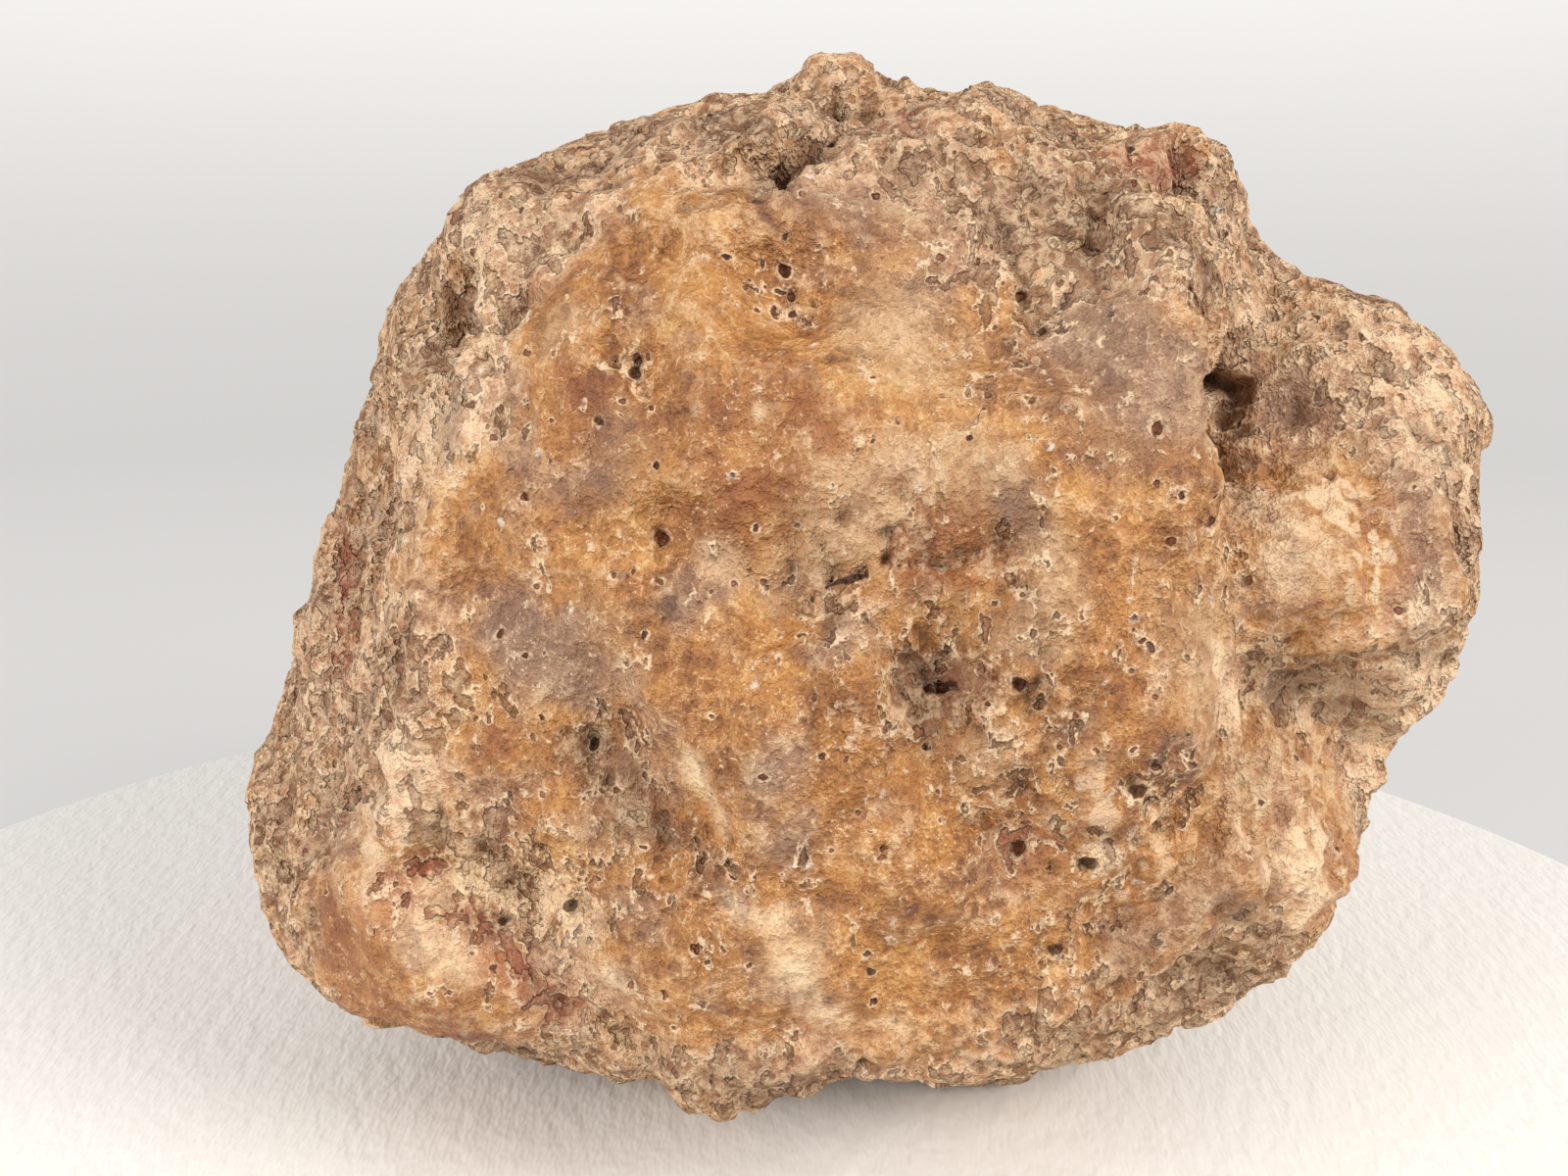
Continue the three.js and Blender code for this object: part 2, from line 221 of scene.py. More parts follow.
# Small broken ledges that stand proud: half width, height, path.
LEDGES = [
    (2, 1, (1270, 870), (1200, 940), (1108, 1002), (1068, 1031), (997, 1045), (908, 1067)),
    (1.8, 0.9, (908, 1067), (832, 1080), (774, 1098), (720, 1090), (667, 1076)),
    (1.4, 0.8, (970, 1067), (1024, 1078), (1068, 1076), (1108, 1049)),
    (2.4, 1.3, (540, 180), (505, 290), (480, 380), (465, 450), (440, 560), (425, 740), (400, 860)),
    (2.2, 1.2, (480, 250), (540, 215), (640, 210), (740, 240), (790, 215)),
    (1.8, 0.9, (840, 175), (870, 150), (950, 165), (1000, 150)),
    (2.4, 1.2, (1150, 200), (1200, 290), (1222, 400), (1262, 460)),
    (2, 1.2, (1330, 370), (1400, 400), (1440, 440), (1460, 500), (1478, 615)),
    (2, 1, (1480, 610), (1440, 640), (1370, 650), (1300, 690)), (1.3, 1, (642, 830), (695, 853)),
]

# Broad swellings: half width, height, path.
SWELLS = [
    (7.5, 2.2, (925, 700), (985, 692)), (4, 1.4, (1275, 470)), (8, 1.6, (640, 165), (730, 165)),
    (4, 2.4, (735, 188), (785, 165), (815, 130)), (4.5, 0.8, (847, 64)), (9, 3.8, (1350, 735), (1430, 700)),
]

# -------- colour areas: radius, path of pixels
MILKY = [
    (4.5, (846, 560), (905, 505)), (3.5, (935, 490), (985, 478)), (5.5, (915, 315), (945, 350)),
    (2.6, (755, 585)), (3, (575, 340)), (2.4, (987, 776)), (2.4, (1060, 580), (1082, 650)),
    (5, (1225, 650), (1240, 700)), (2.6, (1300, 515), (1330, 545)), (3.6, (1260, 810), (1310, 840)),
]
LILAC = [
    (5.5, (1290, 392), (1335, 415)), (3.6, (1415, 455), (1455, 580)), (5.5, (1110, 330), (1150, 420)),
    (3, (1037, 490), (1037, 550)), (3.2, (830, 600)), (4.6, (600, 650)), (3.6, (540, 240)), (4, (620, 470)),
    (4, (525, 645), (555, 690)), (2.4, (804, 792)), (2.4, (816, 865)), (4.4, (860, 215), (1020, 210)),
    (2.4, (860, 650)), (2.6, (1060, 655)),
]
RUST = [
    (6.5, (340, 965), (420, 1045)), (3, (470, 1050)), (6, (800, 450)), (4, (830, 520)), (4, (740, 520)),
    (4, (600, 230)), (3.2, (590, 420)), (2.6, (500, 737)), (4, (927, 508), (918, 545), (970, 546)),
    (2.6, (1015, 560)), (3, (990, 690)), (1.6, (950, 573)),
]
SALMON = [
    (1.6, (355, 905), (400, 925), (440, 900)), (2.2, (345, 545), (352, 683)),
    (3, (430, 895), (510, 955), (530, 985), (600, 1040)), (3, (1150, 160), (1213, 158)),
    (2.6, (900, 130), (1040, 115)), (1.6, (370, 925), (400, 890)), (2.2, (1038, 865)),
]
# Painted shade: darker colour laid into creases, the vug, hollows, the underside and the top crust.
PAINTED_SHADE_AREAS = [
    (4, (540, 185), (650, 150), (740, 140)), (4, (900, 120), (1060, 130)), (3.2, (1050, 225), (1110, 220)),
    (2.6, (1086, 160), (1116, 190)), (2.4, (1223, 200)), (4, (480, 340)), (2, (850, 612)),
    (4.6, (932, 706), (985, 682)), (2.6, (605, 770), (640, 845)), (2.2, (850, 130), (780, 200)),
    (4, (700, 1098), (850, 1104)), (4, (1150, 975), (1240, 925)), (2.4, (1180, 230), (1200, 260)),
]
WHITE = [
    (3, (434, 952), (470, 970)), (2.3, (706, 794)), (1.7, (724, 832)),
    (1.5, (715, 914), (791, 945), (822, 954)), (2, (822, 954), (834, 1006)), (1.8, (638, 994)),
    (0.8, (788, 433)), (1, (1052, 462)), (1.6, (850, 1040), (900, 1050)), (2.2, (1300, 550), (1330, 600)),
    (2.4, (1240, 670), (1250, 720)), (3, (1320, 870), (1340, 920)),
]
HONEY = [
    (5, (1335, 480), (1370, 580)), (7, (330, 950), (400, 1010), (480, 1060)), (3, (500, 965)),
    (6, (740, 460), (800, 400)), (5, (700, 690), (860, 780)), (6, (930, 900), (1040, 960)), (4, (860, 300)),
    (5, (1090, 480), (1120, 560), (1080, 690)), (4, (560, 330), (620, 300)),
]
# Pale areas: partly paler rosy stone, partly painted light that brightens crust where the stone is lit, as on
# the right side and under the lobe's overhang.
PALE_AND_PAINTED_LIGHT = [
    (5.5, (1350, 520), (1400, 590)), (8, (1350, 730), (1430, 690)), (5, (480, 380), (440, 500)),
    (5, (400, 780), (390, 850)), (5, (1450, 400), (1490, 480)), (2.6, (1240, 670), (1250, 730)),
    (6, (1300, 830), (1340, 900)), (4, (1090, 820), (1150, 900)), (3, (850, 1040)),
    (5, (1430, 330), (1480, 430)), (4, (1300, 330), (1400, 335)), (5, (500, 290), (475, 380)),
    (4, (465, 905), (590, 915)),
]
COLOUR_AREAS = {
    "milky": MILKY, "lilac": LILAC, "rust": RUST, "salmon": SALMON,
    "painted_shade": PAINTED_SHADE_AREAS, "pale_and_painted_light": PALE_AND_PAINTED_LIGHT, "white": WHITE, "honey": HONEY,
}
MASKS = ["waxy", "lacy", "grainy", "painted_hollow_shade", "rim", *COLOUR_AREAS]
# Behind, noise places the same stuffs, painted shade and pale painted light among them: its wavelength, and the
# height above which it holds.
BEHIND = {
    "waxy": (34, -0.02), "milky": (20, 0.22), "lilac": (22, 0.12),
    "rust": (24, 0.15), "salmon": (12, 0.3), "painted_shade": (16, 0.2),
    "pale_and_painted_light": (28, 0.1), "white": (13, 0.32), "honey": (26, 0.1),
}

# -------- stage
TABLE_CENTRE = (-14, -10)
TABLE_RADIUS = 158
TABLE_EDGE = 3
TABLE_THICKNESS = 14
SWEEP_FLOOR = 700
SWEEP_BEND = 350
SWEEP_HEIGHT = 1100
RING_SIDES = 160
LIT_POINT = (0, 0, 60)
# Soft boxes: place, size, watts, colour.
LIGHTS = {
    "key": ((610, -430, 470), 400, 6.5, (1.0, 0.985, 0.975)),
    "top": ((-60, 60, 760), 520, 0.15, (1.0, 0.99, 0.98)),
    "fill": ((-650, -525, 325), 520, 6.2, (0.98, 0.98, 1.0)),
}
ROOM_GLOW = 0.53


# ======== noise
HASH_STEPS = (374761393, 668265263, 1274126177, 2246822519)
HASH_SHIFTS = (15, 13)
WORD = 0xFFFFFFFF


def hashed(cell, seed):
    """A repeatable number from 0 to 1 for each row of whole numbers."""
    code = np.full(cell.shape[0], (seed * HASH_STEPS[3]) & WORD, np.uint64)
    for axis in range(3):
        part = (cell[:, axis].astype(np.int64) & WORD).astype(np.uint64)
        code ^= part * HASH_STEPS[axis] & WORD
        code = (code ^ (code >> HASH_SHIFTS[0])) * HASH_STEPS[2] & WORD
    code ^= code >> HASH_SHIFTS[1]
    return (code & WORD) / (WORD + 1)


def noise(points, wavelength, seed):
    """Smooth noise from -1 to 1 whose lumps are about a wavelength across."""
    place = points / wavelength
    cell = np.floor(place)
    part = place - cell
    ease = part * part * (3 - 2 * part)
    total = np.zeros(len(points))
    for corner in product((0, 1), repeat=3):
        weight = np.prod(np.where(corner, ease, 1 - ease), axis=1)
        total += weight * hashed(cell + corner, seed)
    return 2 * total - 1


def layered(points, wavelength, seed, layers=3):
    """Noise with finer and weaker noise on top of it, from about -1 to 1."""
    total = sum(noise(points, wavelength / 2**k, seed + k) / 2**k for k in range(layers))
    return total / (2 - 2.0 ** (1 - layers))


def waves(points, sizes):
    """Height of several layered noises, each given as its height, wavelength and seed."""
    return sum(tall * layered(points, wavelength, seed) for tall, wavelength, seed in sizes)


def wandering(points, drifts):
    """The points, moved by one smooth noise after another, each given as its reach, wavelength and seed."""
    for reach, wavelength, seed in drifts:
        shift = [noise(points, wavelength, seed + axis) for axis in range(3)]
        points = points + reach * np.stack(shift, axis=1)
    return points


def cells(points, size, seed):
    """Distances to the nearest two of points scattered about a size apart, and a number for the nearest."""
    place = points / size
    base = np.floor(place)
    nearest = np.full(len(points), np.inf)
    second = nearest.copy()
    tag = np.zeros(len(points))
    for step in product((-1, 0, 1), repeat=3):
        cell = base + step
        centre = cell + np.stack([hashed(cell, seed + axis) for axis in range(3)], axis=1)
        away = np.linalg.norm(place - centre, axis=1)
        closer = away < nearest
        second = np.where(closer, nearest, np.minimum(second, away))
        tag = np.where(closer, hashed(cell, seed + 3), tag)
        nearest = np.minimum(nearest, away)
    return nearest, second, tag


def step_up(value, low, high):
    """0 below low, 1 above high and a smooth step between them."""
    t = np.clip((value - low) / (high - low), 0, 1)
    return t * t * (3 - 2 * t)


# ======== places on the stone
def photo_ray(pixel):
    """Direction from the camera through a pixel of the photograph."""
    across = (pixel[0] - PHOTO_WIDTH / 2) / FOCAL_PIXELS
    up = (PHOTO_HEIGHT / 2 - pixel[1]) / FOCAL_PIXELS
    forward = Vector((0, math.cos(CAMERA_PITCH), -math.sin(CAMERA_PITCH)))
    upward = Vector((0, math.sin(CAMERA_PITCH), math.cos(CAMERA_PITCH)))
    return (forward + across * Vector((1, 0, 0)) + up * upward).normalized()


def on_front(tree, pixel):
    """Point of the stone that the photograph shows at a pixel."""
    hit = tree.ray_cast(CAMERA_PLACE / METRE, photo_ray(pixel))[0]
    if hit is None:
        raise ValueError(f"the photograph shows no stone at pixel {pixel}")
    return np.array(hit) * METRE


def distance_to_path(points, path):
    """Distance from each point to a chain of straight lines, or to the one point of a short path."""
    if len(path) == 1:
        return np.linalg.norm(points - path[0], axis=1)
    best = np.full(len(points), np.inf)
    for start, end in zip(path, path[1:]):
        along = end - start
        t = np.clip((points - start) @ along / (along @ along), 0, 1)
        best = np.minimum(best, np.linalg.norm(points - start - t[:, None] * along, axis=1))
    return best


# ======== the refined mesh
def add_object(name, data):
    """A new object in the scene."""
    made = bpy.data.objects.new(name, data)
    bpy.context.scene.collection.objects.link(made)
    return made


def refined_copy(node):
    """The node's mesh as a new mesh, its triangles paired into quads and smoothly subdivided."""
    work = bmesh.new()
    work.from_mesh(node.data)
    bmesh.ops.remove_doubles(work, verts=work.verts, dist=JOINED / METRE)
    bmesh.ops.join_triangles(
        work, faces=work.faces, angle_face_threshold=math.pi, angle_shape_threshold=math.pi
    )
    mesh = bpy.data.meshes.new("geode_skin")
    work.to_mesh(mesh)
    work.free()
    piece = add_object("geode_skin", mesh)
    smooth = piece.modifiers.new("smooth", "SUBSURF")
    smooth.levels = smooth.render_levels = SUBDIVISIONS
    bake_modifiers(piece)
    return piece


def bake_modifiers(piece):
    """Turns a piece's modifiers into its mesh."""
    graph = bpy.context.evaluated_depsgraph_get()
    old = piece.data
    piece.data = bpy.data.meshes.new_from_object(piece.evaluated_get(graph))
    piece.modifiers.clear()
    bpy.data.meshes.remove(old)


def read_vectors(rows, name):
    values = np.empty(len(rows) * 3)
    rows.foreach_get(name, values)
    return values.reshape(-1, 3)


def read_points(mesh):
    return read_vectors(mesh.vertices, "co") * METRE


def write_points(mesh, points):
    mesh.vertices.foreach_set("co", (points / METRE).ravel())
    mesh.update()


def write_mask(mesh, name, values):
    mask = mesh.attributes.new(name, "FLOAT", "POINT")
    mask.data.foreach_set("value", values.astype(np.float32))


def read_mask(mesh, name):
    values = np.empty(len(mesh.vertices), np.float32)
    mesh.attributes[name].data.foreach_get("value", values)
    return values.astype(float)


# ======== the skin
def bowl(distance, radius):
    """1 at the middle of a bowl and 0 at its edge and outside it."""
    return np.clip(1 - (distance / radius) ** 2, 0, 1)


def crested(points, wavelength, seed):
    """Noise from about -1 to 1 that rises to sharp crests."""
    return 1 - 4 * np.abs(layered(points, wavelength, seed))


def behind_mask(points, name, seed):
    """Where noise puts a stuff behind, and none in front."""
    wavelength, threshold = BEHIND[name]
    mask = np.zeros(len(points))
    behind = points[:, 1] > BEHIND_BEGINS[0]
    there = step_up(layered(points[behind], wavelength, seed), threshold, threshold + BEHIND_FADE)
    mask[behind] = there * step_up(points[behind, 1], *BEHIND_BEGINS)
    return mask


def area_mask(points, areas, softness):
    """1 inside the areas, each a path and a radius, fading to 0 over softness times the radius."""
    mask = np.zeros(len(points))
    for path, radius in areas:
        inside = 1 - distance_to_path(points, path) / radius
        mask = np.maximum(mask, step_up(inside, -softness / 2, softness / 2))
    return mask


def lumps(points, size, tall, pitted, seed):
    """Height of round lumps, a share of them pits, and how far each point is down in one and up a wall."""
    nearest, second, tag = cells(points, size, seed)
    round_top = bowl(nearest, LUMP_RADIUS)
    sunk = step_up(tag, 1.0 - pitted, 1.1 - pitted)
    wall = np.exp(-(((second - nearest) / WALL_WIDTH) ** 2))
    height = tall * (round_top * (LUMP_HEIGHT - LUMP_TO_PIT * sunk) + WALL_HEIGHT * wall * sunk)
    return height, round_top * sunk, wall


def crust_relief(points):
    """Height of the crust, and how far each point is down in a pit and up a wall."""
    upright = points * UPRIGHT
    warped = wandering(upright, CRUST_DRIFTS)
    crest = crested(warped, *CRUST_CREST)
    height = waves(upright, CRUST_WAVES) + CRUST_CREST_HEIGHT * crest
    pit = np.zeros(len(points))
    wall = 0.8 * step_up(crest, 0.7, 1.0)
    for sizes in CRUST_LUMPS:
        relief, sunk, edge = lumps(warped, *sizes)
        height += relief
        pit = np.maximum(pit, sunk)
        wall = np.maximum(wall, edge)
    return height, pit, wall


def waxy_relief(points, lacy):
    """Height of the waxy stone, and how far each point is down in a pit and up a wall."""
    height = waves(points, WAXY_WAVES)
    crest = crested(points, *WAXY_CREST)
    crease = np.exp(-((layered(points, *CREASE) / CREASE_WIDTH) ** 2))
    relief, sunk, _ = lumps(wandering(points, WAXY_DRIFTS), *WAXY_LUMPS)
    lines = WAXY_CREST_HEIGHT * crest - CREASE_DEPTH * crease
    height += lines + relief * (PLAIN_LUMPS + (1 - PLAIN_LUMPS) * lacy)
    gnarl = sum(tall * crested(points, wavelength, seed) for tall, wavelength, seed in GNARLS)
    gnarl = step_up(points[:, 0], *GNARLED_BEGINS) * gnarl
    # Walls on crests and gnarls turn pale: partly cream stone, partly painted highlight.
    wall = np.maximum(0.6 * step_up(crest, 0.75, 1.0), 0.75 * step_up(gnarl, 0.35, 0.9))
    # Pits in the valleys of the gnarls get painted shade.
    pit = np.maximum(sunk * lacy, 0.5 * step_up(-gnarl, 0.15, 0.9))
    return height + gnarl, pit, wall


def dig_craters(points, place):
    """Height of the larger placed craters and their lips, and how far each point is down in one."""
    relief = np.zeros(len(points))
    pit = np.zeros(len(points))
    for *pixel, radius in VOIDS + CRATERS:
        if radius < SMALLEST_DUG_CRATER:
            continue
        away = np.linalg.norm(points - place.front([pixel])[0], axis=1) / radius
        lip = LIP_HEIGHT * np.exp(-((away - LIP_RADIUS) ** 2) / LIP_SPREAD)
        relief += radius * (lip - CRATER_DEPTH * bowl(away, CRATER_MOUTH))
        pit = np.maximum(pit, bowl(away, 1.2))
    return relief, pit


def work_features(points, place, height, painted_hollow_shade, rim):
    """Works the named features of the front into the height and two masks, and gives the grainy mask."""
    rough = 1 + TORN_EDGE * layered(points, 2.2, seed=180)
    grain = layered(points, 1.5, seed=190, layers=2)
    torn = wandering(points, TORN_DRIFTS)
    grainy = np.zeros(len(points))
    for half_width, depth, *path in GRAINY:
        inside = bowl(distance_to_path(torn, place.front(path)) * rough, half_width)
        height -= GRAINY_DEPTH * depth * inside - GRAINY_GRAIN * grain * np.sqrt(inside)
        grainy = np.maximum(grainy, np.sqrt(inside))
    for half_width, depth, *path in CAVITIES + SLITS:
        inside = bowl(distance_to_path(torn, place.front(path)) * rough, half_width)
        height -= depth * inside + CAVITY_GRAIN * grain * (inside > 0)
        # Deeper and narrower hollows get more painted shade.
        painted_hollow_shade = np.maximum(painted_hollow_shade, np.sqrt(inside) * min(1, 0.4 + 0.35 * depth / half_width))
    for half_width, tall, *path in SWELLS:
        height += tall * bowl(distance_to_path(torn, place.front(path)), half_width)
    for half_width, tall, *path in LEDGES:
        ragged = distance_to_path(points, place.front(path)) * (rough + 0.2 * grain)
        ledge = bowl(ragged, half_width * LEDGE_WIDTH)
        height += tall * ledge
        # Ledge rims turn pale with painted highlight.
        rim = np.maximum(rim, LEDGE_RIM * ledge)
    dug, pit = dig_craters(wandering(points, CRATER_DRIFTS), place)
    return height + dug, np.maximum(painted_hollow_shade, 0.6 * pit), rim, grainy


def colour_masks(points, place):
    """The masks of the colour areas."""
    drifting = wandering(points, COLOUR_DRIFTS)
    masks = {}
    for number, (name, areas) in enumerate(COLOUR_AREAS.items()):
        in_front = area_mask(drifting, place.front_areas(areas), COLOUR_SOFTNESS)
        masks[name] = np.maximum(in_front, behind_mask(drifting, name, seed=210 + 10 * number))
    return masks


def work_skin(points, place):
    """Heights to add along the normals, and the masks of the material."""
    blurred = wandering(points, WAXY_AREA_DRIFTS)
    waxy = area_mask(blurred, place.front_areas(FRONT_WAXY), WAXY_SOFTNESS)
    waxy = np.maximum(waxy, behind_mask(blurred, "waxy", seed=46))
    around = [(place.front(path), LACY_REACH * half_width) for half_width, _, *path in GRAINY]
    lacy = area_mask(blurred, around, LACY_SOFTNESS)
    lacy = np.maximum(lacy, step_up(layered(points, 15, seed=50), 0.12, 0.42))
    crust_height, crust_pit, crust_wall = crust_relief(points)
    waxy_height, waxy_pit, waxy_wall = waxy_relief(points, lacy)
    height = crust_height * (1 - waxy) + waxy_height * waxy
    # Pits of the relief get painted shade.
    painted_hollow_shade = RELIEF_SHADE * (crust_pit * (1 - waxy) + waxy_pit * waxy)
    # Walls of the relief turn pale: the crust's cream ridges, and painted highlight on crests.
    rim = RELIEF_SHADE * (crust_wall * (1 - waxy) + waxy_wall * waxy)
    height, painted_hollow_shade, rim, grainy = work_features(points, place, height, painted_hollow_shade, rim)
    masks = {"waxy": waxy, "lacy": lacy, "grainy": grainy, "painted_hollow_shade": painted_hollow_shade, "rim": rim}
    return height, masks | colour_masks(points, place)


def layer_craters(centres, radii):
    """Splits craters into layers in which no two are close. Those that fit nowhere are left out."""
    layers = [([], []) for _ in range(CRATER_LAYERS)]
    for centre, radius in zip(centres, radii):
        for kept, sizes in layers:
            gap = np.inf
            if kept:
                away = np.linalg.norm(np.array(kept) - centre, axis=1)
                gap = np.min(away - CRATER_REACH * np.array(sizes))
            if gap > CRATER_CLEARANCE + CRATER_REACH * radius:
                kept.append(centre)
                sizes.append(radius)
                break
    return layers


def write_craters(mesh, masks, place):
    """Gives each point of the mesh the centre and radius of its nearest crater in each layer."""
    points = read_points(mesh)
    chosen = VOIDS + CRATERS
    centres = place.front(pixel for *pixel, _ in chosen)
    radii = [radius for *_, radius in chosen]
    dice = np.random.default_rng(STRAY_SEED)
    chance = STRAY_ANYWHERE + STRAY_IN_CRUST * (1 - masks["waxy"]) + STRAY_IN_GRAIN * masks["grainy"]
    chance = chance + step_up(noise(points, 9, 300), 0.3, 0.8)
    picked = dice.choice(len(points), STRAY_CRATERS, replace=False, p=chance / chance.sum())
    centres += list(points[picked])
    radii += list(SMALLEST_STRAY + STRAY_SPREAD * dice.random(STRAY_CRATERS) ** 3)
    for number, (kept, sizes) in enumerate(layer_craters(centres, radii)):
        tree = KDTree(len(kept))
        for index, centre in enumerate(kept):
            tree.insert(centre, index)
        tree.balance()
        nearest = [tree.find(point)[1] for point in points]
        write_mask(mesh, f"crater_radius_{number}", np.array(sizes)[nearest])
        middle = mesh.attributes.new(f"crater_centre_{number}", "FLOAT_VECTOR", "POINT")
        middle.data.foreach_set("vector", np.array(kept)[nearest].astype(np.float32).ravel())


class Places:
    """Finds places on the front of a stone by photograph pixel."""

    def __init__(self, piece):
        self.tree = BVHTree.FromObject(piece, bpy.context.evaluated_depsgraph_get())

    def front(self, path):
        return [on_front(self.tree, pixel) for pixel in path]

    def front_areas(self, areas):
        return [(self.front(path), radius) for radius, *path in areas]


def make_stone(node):
    """The stone's visible piece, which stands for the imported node."""
    piece = refined_copy(node)
    points = read_points(piece.data)
    normals = read_vectors(piece.data.vertex_normals, "vector")
    height, masks = work_skin(points, Places(node))
    height *= step_up(points[:, 2], 0, FOOT_FADE)
    points += normals * height[:, None]
    points[:, 2] = np.maximum(points[:, 2], 0)
    write_points(piece.data, points)
    for name, values in masks.items():
        write_mask(piece.data, name, values)

    thin = piece.modifiers.new("thin", "DECIMATE")
    thin.ratio = MOST_TRIANGLES / (2 * len(piece.data.polygons))
    bake_modifiers(piece)
    masks = {name: read_mask(piece.data, name) for name in masks}
    finished = Places(piece)
    write_craters(piece.data, masks, finished)
    piece.data.shade_smooth()
    piece.data.materials.clear()
    piece.data.materials.append(stone_material(finished))
    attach(piece, "root")
    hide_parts("geode")
    return piece


# ======== materials
def linear(red, green, blue):
    """A display colour, each part from 0 to 255, as Blender's linear colour, by the sRGB curve."""
    parts = [c / 255 for c in (red, green, blue)]
    return (*[c / 12.92 if c <= 0.04045 else ((c + 0.055) / 1.055) ** 2.4 for c in parts], 1)


# Tones from dark to pale: the waxy stone is golden in places and rosy grey in others.
GOLDEN_TONES = [(106, 60, 27), (144, 92, 45), (172, 115, 58), (192, 138, 78), (216, 176, 122)]
ROSY_TONES = [(104, 74, 56), (140, 104, 78), (168, 128, 97), (192, 152, 116), (220, 184, 146)]
CRUST_TONES = [
    (100, 66, 48), (142, 101, 76), (172, 127, 97), (196, 151, 117), (220, 177, 141), (243, 208, 172),
]
FLOOR_TONES = [(72, 42, 28), (118, 78, 54), (162, 116, 82), (206, 162, 120), (242, 208, 166)]
MILK = linear(200, 164, 123)
LILAC_GREY = linear(130, 99, 81)
# Colour of the painted shade.
PAINTED_SHADE = linear(116, 82, 63)
RUST_RED = linear(134, 76, 42)
FOLD_PINK = linear(172, 118, 88)
SALMON_PINK = linear(190, 122, 92)
SALMON_DEEP = linear(142, 74, 54)
CREAM = linear(234, 202, 164)
SUGAR_WHITE = linear(240, 226, 206)
PORE_BROWN = linear(116, 78, 56)
PATCH_WHITE = linear(238, 208, 168)
# Brown of the painted shade in hollows.
HOLLOW_SHADE_BROWN = linear(98, 64, 46)
RUST_HOLE = linear(126, 66, 38)
# Black of the painted shade in holes and slits.
HOLE_SHADOW_BLACK = linear(58, 30, 18)
TABLE_WHITE = linear(242, 238, 231)
SWEEP_GREY = linear(150, 148, 146)
SWEEP_GLOW = linear(244, 242, 239)

# Noises: wavelength, detail, roughness.
BROAD = (11, 2, 0.6)
MIDDLE = (4.5, 4, 0.7)
FINE = (1.5, 3, 0.66)
GRIT = (0.45, 1, 0.7)
PORES = (2.4, 3, 0.6)
FOLDS = (2.6, 1, 0.6)
DRAWN_OUT_FOLDS = (1, 1, 0.45)
# Drifts: wavelength, and how far the place is moved in each of two copies of it.
WIDE_DRIFT = (7, 5, 1.8)
FINE_DRIFT = (1.2, 1.5, 0.35)
GRAIN_SIZE = 0.9
TINY_CRATER_SIZE = 2.2

# Tones: the mean, and how much each noise sways it.
WAXY_TONE = (0.48, {"broad": 0.9, "middle": 1.6, "fine": 1.1, "grit": 0.55})
CRUST_TONE = (0.55, {"broad": 0.6, "middle": 1.3, "fine": 1.0, "grit": 0.6})
FLOOR_TONE = (0.66, {"grain": 0.35, "fine": 1.2, "middle": 0.9, "grit": 0.8})
# What each mask or pattern adds to a tone, to the noise of the pores and to that of the hue.
# The pale areas lift the tone, partly as painted light.
WAXY_SHIFT = {"pale_and_painted_light": 0.16}
CRUST_SHIFT = {"lips": 0.15, "pale_and_painted_light": 0.4}
FLOOR_SHIFT = {"lips": 0.3, "pores": -0.2, "knobs": 0.4, "pale_and_painted_light": 0.3}
PORE_SHIFT = {
    "waxy": 0.15, "lacy": -0.09, "honey": 0.04, "white": 0.1, "salmon": -0.1, "rust": 0.05, "pale_and_painted_light": 0.03,
}
ROSY_SHIFT = {"lilac": 0.14, "rust": -0.1, "honey": -0.14, "pale_and_painted_light": 0.06}
# Sums of masks and noises, each with the number it starts at.
WISPINESS = (0.0, {"middle": 0.5, "fine": 0.5})
WAXINESS = (-0.9, {"waxy": 1.0, "middle": 1.0, "broad": 1.0})
GRAININESS = (-1.3, {"grainy": 1.0, "middle": 1.0, "fine": 1.6})
GLOSS = (0.15, {"waxy": 0.27, "grainy": -0.3})
LEAST_GLOSS = 0.05
# Heights of the bump, besides that of the fine noise.
BUMPS = {"grit": 0.2, "pores": -0.7, "lips": 0.2, "holes": -0.6}

# Veins run where the middle noise is at this level.
VEIN_LEVEL = 0.52
# Steps: the values at which one begins and ends, and what it gives there if not 0 and 1.
PATCHY = (0.42, 0.58, 0.12, 0.8)
PORE_EDGE = (0.47, 0.41)
LIP_EDGES = ((0.45, 0.48), (0.56, 0.5))
KNOB_EDGE = (0.5, 0.25)
KNOB_SHARE = (0.45, 0.55)
RUST_BLOTCHES = (0.6, 0.4, 0.4, 0.75)
ROSY = (0.49, 0.69, 0, 0.85)
WISPY = (0.42, 0.56, 0.3, 0.85)
FOLD_CRESTS = (0.52, 0.6, 0, 0.75)
FOLD_TROUGHS = (0.47, 0.38, 0, 0.7)
VEIN_EDGE = (0.014, 0.0)
CRUMBS = (0.65, 0.74)
CRUMB_PATCHES = (0.53, 0.62, 0, 0.7)
FRECKLES = (0.38, 0.3)
FRECKLE_PATCHES = (0.52, 0.42, 0, 0.6)
CRUST_LIKE_WAX = (0.44, 0.6, 0.65, 0)
CRUST_EDGE = (1.0, 0.2)
SALMON_BLOTCHES = (0.6, 0.4, 0.2, 0.55)
FLOOR_EDGE = (0.4, 0.7)
HOLLOW_SHADE = (0.2, 1.0, 0, 0.72)
RUSTY_HOLES = (0.4, 0.52)
ROUGHNESS = (0, 1, 0.8, 0.5)
FINE_HEIGHT = (0, 1, 1.9, 1.5)
# Steps across a placed crater, in parts of its radius. The hole, black painted shade with rust in places, is
# fainter in a smaller one.
HOLE = (0.5, 1.0, 1, 0)
RING_EDGES = ((0.75, 1.1), (1.15, 1.9, 1, 0))
HOLE_RADII = (0.15, 0.6, 0.6, 1)
